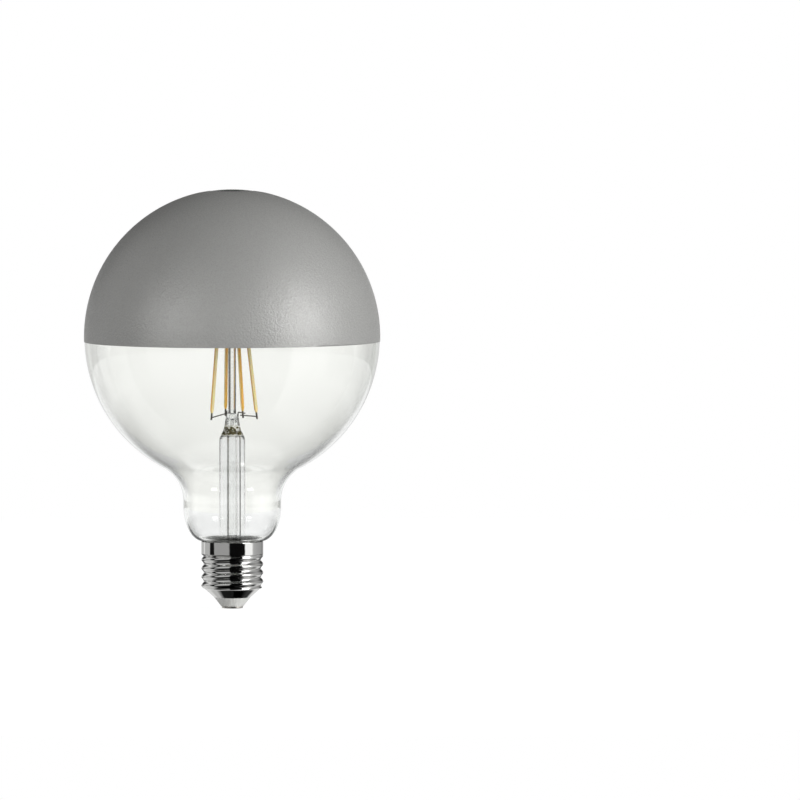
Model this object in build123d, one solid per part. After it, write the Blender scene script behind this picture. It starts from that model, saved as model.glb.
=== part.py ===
from build123d import *
import os
from math import acos, asin, ceil, degrees, sqrt

# LED filament globe bulb on an E27 screw cap, in millimetres. The origin is the underside of the centre
# contact, +Z runs up the axis to the globe, and -Y is the front.

# Screw cap
cap_height = 28.2  # contact to the rim of the skirt
skirt_d = 26.3
skirt_height = 5.3
skirt_taper = 0.9  # the skirt draws in to the thread over this height
shell_wall = 0.3
thread_crest_d = 26.2
thread_depth = 1.0
thread_pitch = 3.629
thread_bearing = 56.6  # bearing of the crest, in degrees, where the thread meets the skirt
thread_runout = 0.9  # the lowest turn fades into the cone over this height
thread_rings = 6  # sections that draw one turn of the thread
cone_rise = 3.5
cone_top_d = 22.8
cone_tip_d = 15.2
insulator_rise = 3.6  # visible cone, contact plate to shell
insulator_foot_d = 9.6
insulator_bed = 2.1  # depth of the insulator inside the shell
contact_d = 9.0
contact_height = 0.9
contact_round = 0.4
eyelet_d = 3.0
eyelet_stand = 0.6  # the eyelet stands this far above the insulator

# Blown glass
globe_d = 125.0  # across the painted dome
glass_wall = 0.9
neck_d = 41.2
throat_r = 16.0  # hollow sweep from the globe into the neck
neck_straight = 2.38
shoulder_height = 14.5  # the neck rounds in to the cap over this height
tail_round = 1.1  # hollow corner between shoulder and tail
tail_gap = 0.5  # tail to the roots of the thread, inside the shell
rim_gap = 0.2  # shoulder above the rim of the skirt

# Paint coat on the dome
coat_thickness = 0.2
coat_gap = 0.05  # paint to glass
coat_edge_drop = 1.9  # paint edge below the middle of the globe
coat_skew = 0.6  # the edge dips by this on one side and rises on the other
coat_low_bearing = 261.0  # where it dips, in degrees
window_d = 18.7  # clear round at the pole

# Glass stem
stem_d = 10.9
stem_wall = 0.6
stem_length = 53.6  # bottom of the flare to the press
flare_height = 12.0
press_height = 5.7
press_shoulder = 1.7  # the tube rounds in to the press over this height
press_foot_width = 9.4
press_foot_depth = 8.6
press_width = 6.4  # at the top of the press
press_depth = 4.0
knuckle_height = 4.9  # rounded end above the press, with the port in it
knuckle_rise = 2.9  # where the knuckle starts to close in
knuckle_width = 5.5
knuckle_depth = 3.9
port_d = 1.3
port_lip = 0.4  # radius of the rolled lip round the port
port_lip_reach = 0.8  # share of that radius between the bore and the middle of the lip
port_drop = 1.4  # port below the top of the stem
port_face = 1.9  # axis to the lip
ceiling_rise = 1.9  # the hollow of the stem goes this far up into the press
ceiling_round = 2.5
exhaust_d = 4.6
exhaust_bore = 2.8
exhaust_tip_gap = 1.0  # sealed tip above the driver board
rod_d = 3.3
bead_d = 5.4
bead_height = 4.2

# Filaments
filament_d = 1.55
filament_length = 38.0
filament_taper = 1.5
filament_tip_d = 0.9
filament_turn = 21.0  # bearing of the first of the four, in degrees
spread_low = 10.05  # from the axis at the lower ends
spread_top = 6.2
sway = 0.8  # the lower ends stand this far to the right of the stem
filament_lift = 1.45  # lower ends of the inner pair above the top of the stem
pair_drop = 1.1  # the outer pair hangs lower by this
pin_d = 0.8
pin_length = 3.0
pin_chamfer = 0.15

# Wires
wire_d = 0.5
wire_bend = 1.0
wire_overrun = 0.8  # past the pin that it is welded to
link_depth = 1.8  # links and top wires cross the pins this far from the filament
lead_depth = 0.9
lead_bend = 2.0
lead_bend_drop = 0.6  # the leads turn in this far below the ceiling of the stem
lead_exit = 2.45  # axis to where the leads leave the stem
lead_left = (-1.75, -2.4)  # leads in the stem, in plan
lead_right = (3.4, 1.2)
top_wire_pitch = 2.5  # between the two wires in the bead

# Driver in the cap
board_thickness = 1.0
board_gap = 1.2  # board edge to the roots of the thread
board_headroom = 3.4  # board to the bottom of the glass tail
capacitor_d = 6.3
capacitor_height = 6.6
capacitor_gap = 0.4  # above the insulator
capacitor_crimp = 1.3  # groove below the board
capacitor_groove = 0.25
capacitor_at = 6.2
capacitor_bearing = 150.0
choke_d = 5.0
choke_height = 4.6
choke_flange = 0.8
choke_waist_d = 2.4
winding_inset = 0.35  # winding inside the rim of the flanges
choke_at = 6.0
choke_bearing = 30.0
rectifier_length = 4.7
rectifier_width = 3.9
rectifier_height = 1.6
rectifier_at = 6.2
chip_length = 4.9
chip_width = 3.9
chip_height = 1.5
chip_at = 6.0
leg_width = 0.5
leg_reach = 0.8
leg_thickness = 0.25
package_standoff = 0.1
package_draft = 0.2  # chamfer round the top of a package
fuse_d = 2.3
fuse_waist_d = 1.9
fuse_cap = 0.8
fuse_length = 4.2
fuse_stub = 0.8  # lead between fuse and board
fuse_lead_d = 0.6
shell_wire_at = 9.6
shell_wire_rise = 1.2

# Clearances
bond_gap = 0.02  # between cemented, fused or soldered pieces
wall_touch = 0.05  # wire end to the wall that it is soldered to

# Radii
skirt_r = skirt_d / 2
crest_r = thread_crest_d / 2
root_r = crest_r - thread_depth
root_inner_r = root_r - shell_wall
tip_r = cone_tip_d / 2
cone_top_r = cone_top_d / 2
eyelet_r = eyelet_d / 2
globe_r = globe_d / 2
glass_r = globe_r - coat_thickness
neck_r = neck_d / 2
tail_r = root_inner_r - tail_gap
ledge_r = tail_r + tail_round
flare_r = tail_r - glass_wall
stem_r = stem_d / 2
hollow_r = stem_r - stem_wall
rod_r = rod_d / 2
bead_r = bead_d / 2
wire_r = wire_d / 2
pin_r = pin_d / 2
weld_offset = pin_r + wire_r + bond_gap
fuse_lead_r = fuse_lead_d / 2

# Heights, bottom to top
tip_z = contact_height + insulator_rise
thread_z = tip_z + cone_rise
skirt_z = cap_height - skirt_height
bed_z = tip_z + insulator_bed
board_z = bed_z + capacitor_gap + capacitor_height
board_top_z = board_z + board_thickness
tail_z = board_top_z + board_headroom
seat_z = cap_height + rim_gap
shoulder_z = seat_z + shoulder_height
throat_z = shoulder_z + neck_straight
globe_z = throat_z + sqrt((glass_r + throat_r) ** 2 - (neck_r + throat_r) ** 2)
flare_z = tail_z + flare_height
press_z = tail_z + stem_length
ceiling_z = press_z + ceiling_rise
knuckle_z = press_z + press_height
stem_top_z = knuckle_z + knuckle_height
filament_z = stem_top_z + filament_lift


def turned(*edges):
    """Solid of revolution about Z, from a closed outline drawn as radius and height."""
    return revolve(Plane.XZ * make_face(edges), Axis.Z)


def turned_polygon(*points):
    return turned(*Polyline(*points, close=True).edges())


def standing(radius, low, high, at=(0.0, 0.0)):
    """Round bar along Z between two heights."""
    return Pos(at[0], at[1], (low + high) / 2) * Cylinder(radius, high - low)


def around(distance, bearing, z=0.0):
    """Point at a distance from the axis."""
    return Vector(distance, 0, z).rotate(Axis.Z, bearing)


def wire_along(path, radius):
    return sweep(Plane(origin=path @ 0, z_dir=path % 0) * Circle(radius), path=path)


def inset_path(points, inset):
    """Open outline moved to its left by a wall thickness, with mitred corners."""
    spots = [Vector(*point) for point in points]
    runs = [(b - a).normalized() for a, b in zip(spots, spots[1:])]
    lefts = [Vector(-run.Y, run.X) for run in runs]
    corners = zip(spots, lefts[:1] + lefts, lefts + lefts[-1:])
    return [spot + (a + b) * (inset / (1 + a.dot(b))) for spot, a, b in corners]


# Screw cap


def crest_bearing(z):
    return thread_bearing + 360 * (z - skirt_z) / thread_pitch


def thread_column(radius, low, high):
    """Right-hand knuckle thread: level rings whose middles climb a helix of half the depth about the axis."""
    count = ceil((high - low) / thread_pitch * thread_rings)
    heights = [low + (high - low) * index / count for index in range(count + 1)]
    return loft([Pos(*around(thread_depth / 2, crest_bearing(z), z)) * Circle(radius) for z in heights])


def column_between(path, radius, low, high):
    """Thread cut back to an outline, which gives the cone below it and the run-out of its lowest turn."""
    bound = turned_polygon((0, path[0][1]), *path, (0, path[-1][1]))
    return bound & thread_column(radius, low, high)


def screw_shell():
    column_r = crest_r - thread_depth / 2
    tip = (tip_r, tip_z)
    cone_top = (cone_top_r, thread_z)
    below = (2 * tip_r - cone_top_r, tip_z - cone_rise)
    runout_top = (skirt_r, thread_z + thread_runout)
    skirt_foot = (root_r, skirt_z - skirt_taper)
    corner = (skirt_r, skirt_z)
    above = (skirt_r, cap_height + shell_wall)

    skirt = turned_polygon((0, skirt_foot[1]), skirt_foot, corner, (skirt_r, cap_height), (0, cap_height))
    outside = skirt + column_between([tip, cone_top, runout_top, corner], column_r, tip_z, skirt_z)

    inner_cone = [tuple(spot)[:2] for spot in inset_path([below, cone_top, runout_top, above], shell_wall)]
    inner_skirt = [tuple(spot)[:2] for spot in inset_path([skirt_foot, corner, above], shell_wall)]
    skirt_hollow = turned_polygon((0, inner_skirt[0][1]), *inner_skirt, (0, inner_skirt[-1][1]))
    thread_hollow = column_between(inner_cone, column_r - shell_wall, inner_cone[0][1], skirt_z)
    return outside - (skirt_hollow + thread_hollow)


def cone_inside_r(z):
    """Radius that clears the inside of the shell's cone."""
    slope = (cone_top_r - tip_r) / cone_rise
    return tip_r + slope * (z - tip_z) - (shell_wall + bond_gap) * sqrt(1 + slope**2)


def cap_insulator():
    hole_r = eyelet_r + bond_gap
    lip_z = tip_z - bond_gap
    return turned_polygon(
        (hole_r, contact_height),
        (insulator_foot_d / 2, contact_height),
        (tip_r, lip_z),
        (cone_inside_r(lip_z), lip_z),
        (cone_inside_r(bed_z), bed_z),
        (hole_r, bed_z),
    )


def centre_contact():
    contact_r = contact_d / 2
    bore_r = fuse_lead_r + bond_gap
    eyelet_z = bed_z + eyelet_stand
    edge = CenterArc((contact_r - contact_round, contact_round), contact_round, -90, 90)
    rest = Polyline(
        edge @ 1,
        (contact_r, contact_height),
        (eyelet_r, contact_height),
        (eyelet_r, eyelet_z),
        (bore_r, eyelet_z),
        (bore_r, contact_height),
        (0, contact_height),
        (0, 0),
        edge @ 0,
    )
    return turned(edge, *rest.edges())


def cap_cement():
    inner_r = tail_r + bond_gap
    outer_r = skirt_r - shell_wall - bond_gap
    floor_z = skirt_z + shell_wall
    corner_z = seat_z - tail_round
    round_r = tail_round - bond_gap
    rise = degrees(asin((cap_height - corner_z) / round_r))
    hollow = CenterArc((ledge_r, corner_z), round_r, 180, -rise)
    rest = Polyline(
        hollow @ 1,
        (outer_r, cap_height),
        (outer_r, floor_z),
        (inner_r, floor_z),
        hollow @ 0,
    )
    return turned(hollow, *rest.edges())


# Glass and paint


def glass_outline(inset):
    """Half outline of the blown glass from the pole to the end of the tail, inset from its outer face."""
    throat = Vector(neck_r + throat_r, throat_z)
    dip = degrees(asin((globe_z - throat_z) / (glass_r + throat_r)))
    return [
        CenterArc((0, globe_z), glass_r - inset, 90, -(90 + dip)),
        CenterArc(throat, throat_r + inset, 180 - dip, dip),
        Line((neck_r - inset, throat_z), (neck_r - inset, shoulder_z)),
        EllipticalCenterArc(
            (ledge_r, shoulder_z),
            neck_r - ledge_r - inset,
            shoulder_height - inset,
            start_angle=0,
            arc_size=-90,
        ),
        CenterArc((ledge_r, seat_z - tail_round), tail_round + inset, 90, 90),
        Line((tail_r - inset, seat_z - tail_round), (tail_r - inset, tail_z)),
    ]


def glass_globe():
    pole = globe_z + glass_r
    return turned(
        *glass_outline(0),
        Line((tail_r, tail_z), (tail_r - glass_wall, tail_z)),
        *glass_outline(glass_wall),
        Line((0, pole - glass_wall), (0, pole)),
    )


def dome_coating():
    window_angle = degrees(asin(window_d / 2 / globe_r))
    edge_angle = degrees(asin((coat_edge_drop + 2 * coat_skew) / globe_r))
    start = 90 - window_angle
    outer = CenterArc((0, globe_z), globe_r, start, -(start + edge_angle))
    inner = CenterArc((0, globe_z), glass_r + coat_gap, start, -(start + edge_angle))
    coat = turned(outer, inner, Line(outer @ 0, inner @ 0), Line(outer @ 1, inner @ 1))
    up = around(coat_skew / globe_r, coat_low_bearing, 1)
    return split(coat, bisect_by=Plane(origin=(0, 0, globe_z - coat_edge_drop), z_dir=up))


# Filaments: bearing in quarter turns from the first, and drop of the lower end

filament_places = {
    "rear_right": (0, pair_drop),
    "rear_left": (1, 0.0),
    "front_left": (2, pair_drop),
    "front_right": (3, 0.0),
}


def filament_ends(place):
    """Lower and upper end of a filament; it leans in towards the rod."""
    quarter, drop = filament_places[place]
    bearing = filament_turn + 90 * quarter
    low = around(spread_low, bearing, filament_z - drop) + Vector(sway, 0, 0)
    top = around(spread_top, bearing, low.Z)
    lean = (top - low).length
    return low, top + Vector(0, 0, sqrt(filament_length**2 - lean**2))


def on_pin(place, depth, upper=False):
    """Point on the middle of a filament's pin, at a depth from the end of the filament."""
    low, top = filament_ends(place)
    up = (top - low).normalized()
    return top + up * depth if upper else low - up * depth


def filament(place):
    low, top = filament_ends(place)
    outline = FilletPolyline(
        (0, 0),
        (filament_tip_d / 2, 0),
        (filament_d / 2, filament_taper),
        (filament_d / 2, filament_length - filament_taper),
        (filament_tip_d / 2, filament_length),
        (0, filament_length),
        radius=[0, filament_taper, filament_taper, 0],
    )
    stick = turned(*outline.edges(), Line((0, 0), (0, filament_length)))
    return Plane(origin=low, z_dir=top - low) * stick


def filament_pin(place, upper):
    low, top = filament_ends(place)
    pin = standing(pin_r, 0, pin_length)
    pin = chamfer(pin.edges().sort_by(Axis.Z)[-1], pin_chamfer)
    if upper:
        return Plane(origin=top, z_dir=top - low) * pin
    return Plane(origin=low, z_dir=low - top) * pin


def filament_pins(upper):
    return Compound(children=[filament_pin(place, upper) for place in filament_places])


# Wires of the mount


def link_path(inner, outer):
    """Straight wire across the lower pins of two filaments, on the side towards the rod."""
    a = on_pin(inner, link_depth)
    b = on_pin(outer, link_depth)
    along = (b - a).normalized()
    inward = Vector(along.Y, -along.X).normalized()
    if inward.dot(Vector(a.X, a.Y)) > 0:
        inward = -inward
    shift = inward * weld_offset
    return Line(a + shift - along * wire_overrun, b + shift + along * wire_overrun)


def top_wire_path(left, right):
    """U shaped wire: straight through the bead, with an arm out past each of two upper pins."""
    a = on_pin(left, link_depth, upper=True)
    b = on_pin(right, link_depth, upper=True)
    along = Vector(b.X - a.X, b.Y - a.Y).normalized()
    outward = Vector(along.Y, -along.X)
    if outward.dot(Vector(a.X, a.Y)) < 0:
        outward = -outward
    middle = outward * (top_wire_pitch / 2) + Vector(0, 0, bead_z())
    points = []
    for pin, inward in ((a, along), (b, -along)):
        arm = along * (along.dot(pin) + inward.dot(along) * weld_offset)
        reach = outward * (outward.dot(pin) + wire_overrun)
        points.append((arm + reach + Vector(0, 0, pin.Z), arm + middle))
    (end_a, corner_a), (end_b, corner_b) = points
    return FilletPolyline(end_a, corner_a, corner_b, end_b, radius=wire_bend)


def bead_z():
    """Height of the top wires in the bead: the mean of the four upper pins."""
    heights = [on_pin(place, link_depth, upper=True).Z for place in filament_places]
    return sum(heights) / len(heights)


def lead_path(plan, side, place):
    """Lead from the driver board up the stem, through the press and out past the pin of one filament."""
    pin = on_pin(place, lead_depth)
    start = Vector(*plan, board_z)
    bend = Vector(*plan, ceiling_z - lead_bend_drop)
    exit_low = Vector(side * lead_exit, 0, knuckle_z)
    exit_top = Vector(side * lead_exit, 0, pin.Z)
    run = pin - exit_top
    swing = degrees(asin(weld_offset / run.length))
    onward = run.normalized().rotate(Axis.Z, side * swing)
    reach = sqrt(run.length**2 - weld_offset**2) + wire_overrun
    end = exit_top + onward * reach
    return FilletPolyline(start, bend, exit_low, exit_top, end, radius=[lead_bend, lead_bend, wire_bend])


lead_paths = {
    "lead_wire_left": lead_path(lead_left, -1, "rear_left"),
    "lead_wire_right": lead_path(lead_right, 1, "front_right"),
}
top_wire_paths = {
    "top_wire_front": top_wire_path("front_left", "front_right"),
    "top_wire_rear": top_wire_path("rear_left", "rear_right"),
}


# Stem


def flare_curve(throat, depth):
    """Trumpet from the tube out to the rim of the flare."""
    return EllipticalCenterArc(
        (flare_r, flare_z), flare_r - throat, flare_height + depth, start_angle=180, arc_size=90
    )


def stem_flare():
    foot_z = tail_z - stem_wall
    outer = flare_curve(stem_r, 0)
    skin = Polyline(
        outer @ 1,
        (tail_r, tail_z),
        (tail_r, foot_z),
        (0, foot_z),
        (0, press_z),
        (stem_r, press_z),
        outer @ 0,
    )
    inner = flare_curve(hollow_r, stem_wall)
    ceiling = CenterArc((hollow_r - ceiling_round, ceiling_z - ceiling_round), ceiling_round, 0, 90)
    core = Polyline(inner @ 1, (0, foot_z), (0, ceiling_z), ceiling @ 1)
    side = Line(ceiling @ 0, inner @ 0)
    press = loft(
        [
            Pos(0, 0, press_z) * Circle(stem_r),
            Pos(0, 0, press_z + press_shoulder) * Ellipse(press_foot_width / 2, press_foot_depth / 2),
            Pos(0, 0, knuckle_z) * Ellipse(press_width / 2, press_depth / 2),
            Pos(0, 0, knuckle_z + knuckle_rise) * Ellipse(knuckle_width / 2, knuckle_depth / 2),
            Pos(0, 0, stem_top_z) * Circle(rod_r),
        ]
    )
    port_z = stem_top_z - port_drop
    lip_plane = Plane(origin=(0, -port_face, port_z), z_dir=(0, -1, 0))
    lip = lip_plane * Torus(port_d / 2 + port_lip * port_lip_reach, port_lip)
    channel = standing(port_d / 2, ceiling_z - ceiling_round, port_z)
    mouth_length = port_face + 2 * port_lip
    mouth = Pos(0, -mouth_length / 2, port_z) * Rot(90, 0, 0) * Cylinder(port_d / 2, mouth_length)
    glass = turned(outer, *skin.edges()) + press + lip
    glass -= turned(inner, *core.edges(), ceiling, side)
    lead_holes = [wire_along(path, wire_r + bond_gap) for path in lead_paths.values()]
    return glass - [channel + mouth, *lead_holes]


def exhaust_tube():
    """Pumping tube, drawn off and sealed to a round tip above the board."""
    outer_r = exhaust_d / 2
    inner_r = exhaust_bore / 2
    tip_middle = (0, board_top_z + exhaust_tip_gap + outer_r)
    outer = CenterArc(tip_middle, outer_r, -90, 90)
    inner = CenterArc(tip_middle, inner_r, -90, 90)
    wall = Polyline(outer @ 1, (outer_r, ceiling_z), (inner_r, ceiling_z), inner @ 1)
    return turned(outer, *wall.edges(), inner, Line(inner @ 0, outer @ 0))


def centre_rod():
    middle = bead_z()
    join = degrees(acos(rod_r / bead_r))
    bead = EllipticalCenterArc((0, middle), bead_r, bead_height / 2, start_angle=-join, arc_size=90 + join)
    rest = Polyline(bead @ 1, (0, stem_top_z), (rod_r, stem_top_z), bead @ 0)
    rod = Rot(0, 0, filament_turn + 45) * turned(bead, *rest.edges())  # seam clear of the holes
    return rod - [wire_along(path, wire_r + bond_gap) for path in top_wire_paths.values()]


# Driver


def driver_board():
    board = standing(root_inner_r - board_gap, board_z, board_top_z)
    for spot in (lead_left, lead_right):
        board -= standing(wire_r + bond_gap, board_z, board_top_z, spot)
    board -= standing(fuse_lead_r + bond_gap, board_z, board_top_z)
    wire_spot = around(shell_wire_at, shell_wire_bearing())
    board -= standing(wire_r + bond_gap, board_z, board_top_z, (wire_spot.X, wire_spot.Y))
    return board


def flat_package(length, width, height, legs):
    """Moulded package on legs that lie on the board, with the board's face at z = 0."""
    body_height = height - package_standoff
    body = Pos(0, 0, package_standoff + body_height / 2) * Box(length, width, body_height)
    body = chamfer(body.faces().sort_by(Axis.Z)[-1].edges(), package_draft)
    pitch = length / legs
    strip = Pos(0, 0, leg_thickness / 2) * Box(leg_width, width + 2 * leg_reach, leg_thickness)
    for index in range(legs):
        body += Pos((index - (legs - 1) / 2) * pitch, 0, 0) * strip
    return body


def bridge_rectifier():
    package = flat_package(rectifier_length, rectifier_width, rectifier_height, 2)
    return Pos(0, -rectifier_at, board_z) * Rot(180, 0, 0) * package


def driver_chip():
    return Pos(0, chip_at, board_top_z) * flat_package(chip_length, chip_width, chip_height, 4)


def smoothing_capacitor():
    """Can hung under the board, with the crimped groove that holds its seal."""
    can_r = capacitor_d / 2
    groove_z = -capacitor_crimp
    groove = CenterArc((can_r, groove_z), capacitor_groove, 90, 180)
    rest = FilletPolyline(
        groove @ 1,
        (can_r, -capacitor_height),
        (0, -capacitor_height),
        (0, 0),
        (can_r, 0),
        groove @ 0,
        radius=[capacitor_groove, 0, 0, capacitor_groove],
    )
    can = turned(groove, *rest.edges())
    return Pos(*around(capacitor_at, capacitor_bearing, board_z)) * can


def choke_core():
    flange_r = choke_d / 2
    waist_r = choke_waist_d / 2
    drum = turned_polygon(
        (0, 0),
        (flange_r, 0),
        (flange_r, -choke_flange),
        (waist_r, -choke_flange),
        (waist_r, choke_flange - choke_height),
        (flange_r, choke_flange - choke_height),
        (flange_r, -choke_height),
        (0, -choke_height),
    )
    return Pos(*around(choke_at, choke_bearing, board_z)) * drum


def choke_winding():
    low = choke_flange - choke_height + bond_gap
    high = -choke_flange - bond_gap
    winding = standing(choke_d / 2 - winding_inset, low, high) - standing(choke_waist_d / 2 + bond_gap, low, high)
    return Pos(*around(choke_at, choke_bearing, board_z)) * winding


def fuse_top_z():
    return board_z - fuse_stub


def fuse_resistor():
    cap_r = fuse_d / 2
    waist_r = fuse_waist_d / 2
    top = fuse_top_z()
    low = top - fuse_length
    return turned_polygon(
        (0, low),
        (cap_r, low),
        (cap_r, low + fuse_cap),
        (waist_r, low + fuse_cap),
        (waist_r, top - fuse_cap),
        (cap_r, top - fuse_cap),
        (cap_r, top),
        (0, top),
    )


def fuse_leads():
    upper = standing(fuse_lead_r, fuse_top_z(), board_top_z)
    lower = standing(fuse_lead_r, contact_height, fuse_top_z() - fuse_length)
    return Compound(children=[upper, lower])


def shell_wire_bearing():
    """The wire lands on a root of the thread, where the shell comes nearest."""
    return crest_bearing(board_top_z + shell_wire_rise) + 180


def shell_wire():
    bearing = shell_wire_bearing()
    wire_z = board_top_z + shell_wire_rise
    foot = around(shell_wire_at, bearing, board_z)
    corner = around(shell_wire_at, bearing, wire_z)
    end = around(root_inner_r - wall_touch, bearing, wire_z)
    return wire_along(FilletPolyline(foot, corner, end, radius=wire_bend), wire_r)


pieces = {
    "glass_globe": glass_globe(),
    "dome_coating": dome_coating(),
    "stem_flare": stem_flare(),
    "exhaust_tube": exhaust_tube(),
    "centre_rod": centre_rod(),
    "link_wire_left": wire_along(link_path("rear_left", "front_left"), wire_r),
    "link_wire_right": wire_along(link_path("front_right", "rear_right"), wire_r),
    "filament_lower_pins": filament_pins(upper=False),
    "filament_upper_pins": filament_pins(upper=True),
    "screw_shell": screw_shell(),
    "cap_cement": cap_cement(),
    "cap_insulator": cap_insulator(),
    "centre_contact": centre_contact(),
    "driver_board": driver_board(),
    "bridge_rectifier": bridge_rectifier(),
    "driver_chip": driver_chip(),
    "smoothing_capacitor": smoothing_capacitor(),
    "choke_core": choke_core(),
    "choke_winding": choke_winding(),
    "fuse_resistor": fuse_resistor(),
    "fuse_leads": fuse_leads(),
    "shell_wire": shell_wire(),
}
for name, path in (lead_paths | top_wire_paths).items():
    pieces[name] = wire_along(path, wire_r)
for place in filament_places:
    pieces["filament_" + place] = filament(place)

os.makedirs("parts", exist_ok=True)
for name, piece in pieces.items():
    piece.label = name
    export_step(piece, f"parts/{name}.step")
print("globe", globe_d, "overall length", round(globe_z + globe_r, 2), "pieces", len(pieces))
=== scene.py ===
import math

import bmesh
import bpy
from mathutils import Matrix, Vector


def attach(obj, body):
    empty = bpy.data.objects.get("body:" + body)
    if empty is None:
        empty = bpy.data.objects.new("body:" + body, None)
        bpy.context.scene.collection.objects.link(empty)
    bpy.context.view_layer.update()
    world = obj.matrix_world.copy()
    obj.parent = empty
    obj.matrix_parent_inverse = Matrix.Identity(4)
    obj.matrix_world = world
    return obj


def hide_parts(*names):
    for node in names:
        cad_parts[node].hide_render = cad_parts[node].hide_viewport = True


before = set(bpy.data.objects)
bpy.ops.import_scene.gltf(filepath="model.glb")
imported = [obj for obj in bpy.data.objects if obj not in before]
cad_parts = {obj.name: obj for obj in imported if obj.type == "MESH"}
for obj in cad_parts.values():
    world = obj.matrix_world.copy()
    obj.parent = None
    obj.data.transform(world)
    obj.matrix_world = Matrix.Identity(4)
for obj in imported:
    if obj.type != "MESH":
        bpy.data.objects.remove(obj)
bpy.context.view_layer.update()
scene = bpy.context.scene
mm = 0.001
metre = 1000  # in mm: a pattern's scale is metre / the size of its grain
weld = 1e-7  # points closer than this become one
white = (1, 1, 1, 1)
print("frame loaded:", len(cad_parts), "nodes")


# colour, nodes and materials

def hexColour(code):
    channels = [int(code[i:i + 2], 16) / 255 for i in (1, 3, 5)]
    linear = [c / 12.92 if c <= 0.04045 else ((c + 0.055) / 1.055) ** 2.4 for c in channels]
    return (*linear, 1.0)


def stopColour(value):  # a stop is given as a hex code, a colour or a grey level
    if isinstance(value, str):
        return hexColour(value)
    return value if isinstance(value, tuple) else (value, value, value, 1.0)


def addNode(tree, kind, inputs=None, stops=(), **settings):
    node = tree.nodes.new(kind)
    for name, value in settings.items():
        setattr(node, name, value)
    for name, value in (inputs or {}).items():
        socket = node.inputs[name]
        if isinstance(value, bpy.types.NodeSocket):
            tree.links.new(value, socket)
        else:
            socket.default_value = value
    if stops:
        elements = node.color_ramp.elements
        while len(elements) > 1:
            elements.remove(elements[-1])
        for index, (place, value) in enumerate(stops):
            stop = elements[0] if index == 0 else elements.new(place)
            stop.position = place
            stop.color = stopColour(value)
    return node


def newMaterial(name):
    material = bpy.data.materials.new(name)
    material.use_nodes = True
    tree = material.node_tree
    tree.nodes.clear()
    output = addNode(tree, "ShaderNodeOutputMaterial")
    return material, tree, output


def closeMaterial(material, tree, output, shader):
    tree.links.new(shader.outputs[0], output.inputs["Surface"])
    return material


# mesh helpers: a profile is drawn in the XZ plane and turned about Z

def startProfile(x, z):
    bm = bmesh.new()
    return bm, bm.verts.new((x * mm, 0, z * mm))


def lineOn(bm, vert, x, z, steps=1):
    start = vert.co.copy()
    for step in range(1, steps + 1):
        vert = bmesh.ops.extrude_vert_indiv(bm, verts=[vert])["verts"][0]
        vert.co = start.lerp(Vector((x * mm, 0, z * mm)), step / steps)
    return vert


def arcOn(bm, vert, centre, turn, steps):
    made = bmesh.ops.spin(
        bm, geom=[vert], cent=(centre[0] * mm, 0, centre[1] * mm), axis=(0, 1, 0), dvec=(0, 0, 0),
        angle=math.radians(turn), steps=steps, use_merge=False, use_duplicate=False)
    return [item for item in made["geom_last"] if isinstance(item, bmesh.types.BMVert)][0]


def turnRound(bm, steps):
    bmesh.ops.spin(
        bm, geom=bm.verts[:] + bm.edges[:], cent=(0, 0, 0), axis=(0, 0, 1), dvec=(0, 0, 0),
        angle=2 * math.pi, steps=steps, use_merge=True, use_duplicate=False)
    bmesh.ops.remove_doubles(bm, verts=bm.verts[:], dist=weld)
    bmesh.ops.recalc_face_normals(bm, faces=bm.faces[:])


def finishPiece(bm, name, material, node, sharpAngle=40):
    mesh = bpy.data.meshes.new(name)
    for face in bm.faces:
        face.smooth = True
    for edge in bm.edges:
        edge.smooth = not edge.is_manifold or edge.calc_face_angle() < math.radians(sharpAngle)
    bm.to_mesh(mesh)
    bm.free()
    mesh.materials.append(material)
    piece = bpy.data.objects.new(name, mesh)
    scene.collection.objects.link(piece)
    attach(piece, "root")
    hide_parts(node)
    return piece


def smoothCopy(node, name, material):
    bm = bmesh.new()
    bm.from_mesh(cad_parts[node].data)
    bmesh.ops.remove_doubles(bm, verts=bm.verts[:], dist=weld)
    piece = finishPiece(bm, name, material, node)
    piece.data.attributes.remove(piece.data.attributes["custom_normal"])  # they belong to the loose triangles
    return piece


# camera: far off and a little above, the bulb stands left of the middle of the frame

view = {
    "distance": 4.0,
    "elevation": 2.4,
    "pixel": 125.0 / 296.3 * mm,  # globe across in the picture
    "imageSide": 800,
    "axisX": 232.2,
    "footY": 608.0,
    "sensor": 36,
}
sceneWidth = view["pixel"] * view["imageSide"]
tilt = math.radians(view["elevation"])
middle = view["imageSide"] / 2
aim = Vector((
    (middle - view["axisX"]) * view["pixel"],
    0,
    (view["footY"] - middle) * view["pixel"] / math.cos(tilt),
))
cameraData = bpy.data.cameras.new("camera")
cameraData.sensor_width = view["sensor"]
cameraData.lens = view["sensor"] * view["distance"] / sceneWidth
cameraData.clip_end = 100
camera = bpy.data.objects.new("camera", cameraData)
camera.location = (0, -view["distance"] * math.cos(tilt), aim.z + view["distance"] * math.sin(tilt))
camera.rotation_mode = "QUATERNION"
camera.rotation_quaternion = (aim - camera.location).to_track_quat("-Z", "Y")
scene.collection.objects.link(camera)
scene.camera = camera
print("camera set, lens", round(cameraData.lens))


def globeGlass():  # soda-lime glass, blown: clear, a little green where it is seen edge on
    material, tree, output = newMaterial("blownSodaLimeGlass")
    shader = addNode(tree, "ShaderNodeBsdfPrincipled", {
        "Base Color": white, "Roughness": 0.0, "IOR": 1.52, "Transmission Weight": 1.0})
    tint = addNode(tree, "ShaderNodeVolumeAbsorption", {"Color": hexColour("#9FD8B0"), "Density": 16.0})
    tree.links.new(tint.outputs[0], output.inputs["Volume"])
    return closeMaterial(material, tree, output, shader)


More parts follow.
